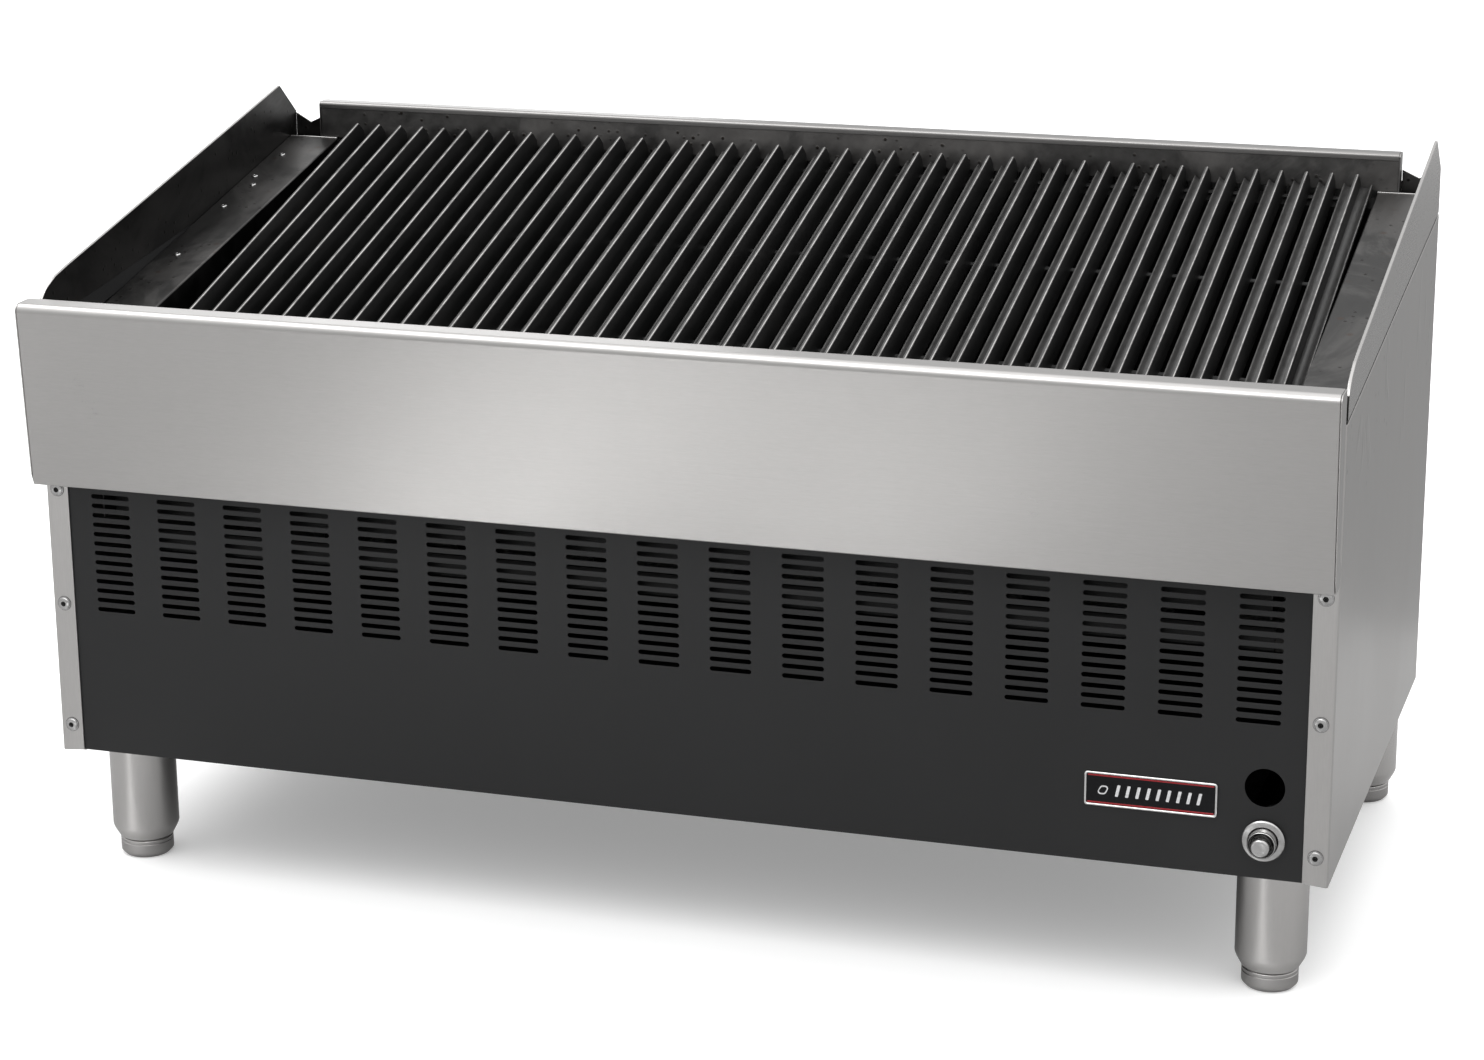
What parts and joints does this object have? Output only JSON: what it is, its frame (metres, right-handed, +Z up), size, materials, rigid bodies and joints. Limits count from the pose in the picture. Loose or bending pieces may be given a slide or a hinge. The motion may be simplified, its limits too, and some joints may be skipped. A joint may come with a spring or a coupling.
{
  "type": "charbroiler grill",
  "caption": "Gas charbroiler for a counter top: steel body on four adjustable legs, sloping lift-off iron grates between side decks, louvred front panel with push-button igniter.",
  "frame": {"origin": "centre of the bounding box in X and Y, on the plane the feet stand on", "axes": "+X to the right seen from the front, +Y to the back, +Z up; the louvred front faces -Y"},
  "size_m": [1.2192, 0.6612, 0.6757],
  "materials": {
    "stainless_sheet": "brushed",
    "deck_sheet": "heat-darkened satin",
    "black_powder_coat": "matte powder coat",
    "cast_iron": "seasoned matte",
    "aluminised_sheet": "aluminised, satin",
    "black_pipe": "black steel pipe, satin",
    "chrome_plate": "polished",
    "black_plastic": "matte"
  },
  "bodies": {
    "chassis": {"side_panel_left": "stainless_sheet", "side_panel_right": "stainless_sheet", "splash_left": "stainless_sheet", "splash_right": "stainless_sheet", "front_rail": "stainless_sheet", "back_rail": "stainless_sheet", "deck_left": "deck_sheet", "deck_right": "deck_sheet", "louvre_panel": "black_powder_coat", "back_panel": "aluminised_sheet", "base_pan": "aluminised_sheet", "drip_pan": "aluminised_sheet", "firebox_front": "aluminised_sheet", "firebox_rear": "aluminised_sheet", "burner_rest": "aluminised_sheet", "pilot_tube": "aluminised_sheet", "nameplate": "chrome_plate", "radiant_1": "cast_iron", "burner_1": "cast_iron", "radiant_2": "cast_iron", "burner_2": "cast_iron", "radiant_3": "cast_iron", "burner_3": "cast_iron", "radiant_4": "cast_iron", "burner_4": "cast_iron", "radiant_5": "cast_iron", "burner_5": "cast_iron", "radiant_6": "cast_iron", "burner_6": "cast_iron", "radiant_7": "cast_iron", "burner_7": "cast_iron", "radiant_8": "cast_iron", "burner_8": "cast_iron", "gas_manifold": "black_pipe", "supply_pipe": "black_pipe", "igniter_bezel": "chrome_plate", "igniter_sleeve": "chrome_plate", "igniter_body": "black_plastic", "leg_front_left": "stainless_sheet", "leg_front_right": "stainless_sheet", "leg_rear_left": "stainless_sheet", "leg_rear_right": "stainless_sheet"},
    "grate_01": {"grate_01": "cast_iron"},
    "grate_02": {"grate_02": "cast_iron"},
    "grate_03": {"grate_03": "cast_iron"},
    "grate_04": {"grate_04": "cast_iron"},
    "grate_05": {"grate_05": "cast_iron"},
    "grate_06": {"grate_06": "cast_iron"},
    "grate_07": {"grate_07": "cast_iron"},
    "grate_08": {"grate_08": "cast_iron"},
    "grate_09": {"grate_09": "cast_iron"},
    "grate_10": {"grate_10": "cast_iron"},
    "grate_11": {"grate_11": "cast_iron"},
    "foot_front_left": {"foot_front_left": "stainless_sheet"},
    "foot_front_right": {"foot_front_right": "stainless_sheet"},
    "foot_rear_left": {"foot_rear_left": "stainless_sheet"},
    "foot_rear_right": {"foot_rear_right": "stainless_sheet"},
    "igniter_button": {"igniter_button": "chrome_plate"}
  },
  "joints": [
    {"name": "grate_01_lift", "type": "slide", "parent": "chassis", "child": "grate_01", "axis": [0, 0, 1], "range_m": [0, 0.15]},
    {"name": "grate_02_lift", "type": "slide", "parent": "chassis", "child": "grate_02", "axis": [0, 0, 1], "range_m": [0, 0.15]},
    {"name": "grate_03_lift", "type": "slide", "parent": "chassis", "child": "grate_03", "axis": [0, 0, 1], "range_m": [0, 0.15]},
    {"name": "grate_04_lift", "type": "slide", "parent": "chassis", "child": "grate_04", "axis": [0, 0, 1], "range_m": [0, 0.15]},
    {"name": "grate_05_lift", "type": "slide", "parent": "chassis", "child": "grate_05", "axis": [0, 0, 1], "range_m": [0, 0.15]},
    {"name": "grate_06_lift", "type": "slide", "parent": "chassis", "child": "grate_06", "axis": [0, 0, 1], "range_m": [0, 0.15]},
    {"name": "grate_07_lift", "type": "slide", "parent": "chassis", "child": "grate_07", "axis": [0, 0, 1], "range_m": [0, 0.15]},
    {"name": "grate_08_lift", "type": "slide", "parent": "chassis", "child": "grate_08", "axis": [0, 0, 1], "range_m": [0, 0.15]},
    {"name": "grate_09_lift", "type": "slide", "parent": "chassis", "child": "grate_09", "axis": [0, 0, 1], "range_m": [0, 0.15]},
    {"name": "grate_10_lift", "type": "slide", "parent": "chassis", "child": "grate_10", "axis": [0, 0, 1], "range_m": [0, 0.15]},
    {"name": "grate_11_lift", "type": "slide", "parent": "chassis", "child": "grate_11", "axis": [0, 0, 1], "range_m": [0, 0.15]},
    {"name": "foot_front_left_screw", "type": "slide", "parent": "chassis", "child": "foot_front_left", "axis": [0, 0, -1], "range_m": [0, 0.025]},
    {"name": "foot_front_right_screw", "type": "slide", "parent": "chassis", "child": "foot_front_right", "axis": [0, 0, -1], "range_m": [0, 0.025]},
    {"name": "foot_rear_left_screw", "type": "slide", "parent": "chassis", "child": "foot_rear_left", "axis": [0, 0, -1], "range_m": [0, 0.025]},
    {"name": "foot_rear_right_screw", "type": "slide", "parent": "chassis", "child": "foot_rear_right", "axis": [0, 0, -1], "range_m": [0, 0.025]},
    {"name": "igniter_button_push", "type": "slide", "parent": "chassis", "child": "igniter_button", "axis": [0, 1, 0], "range_m": [0, 0.006], "stiffness_N_per_m": 600, "springref_m": -0.004}
  ]
}
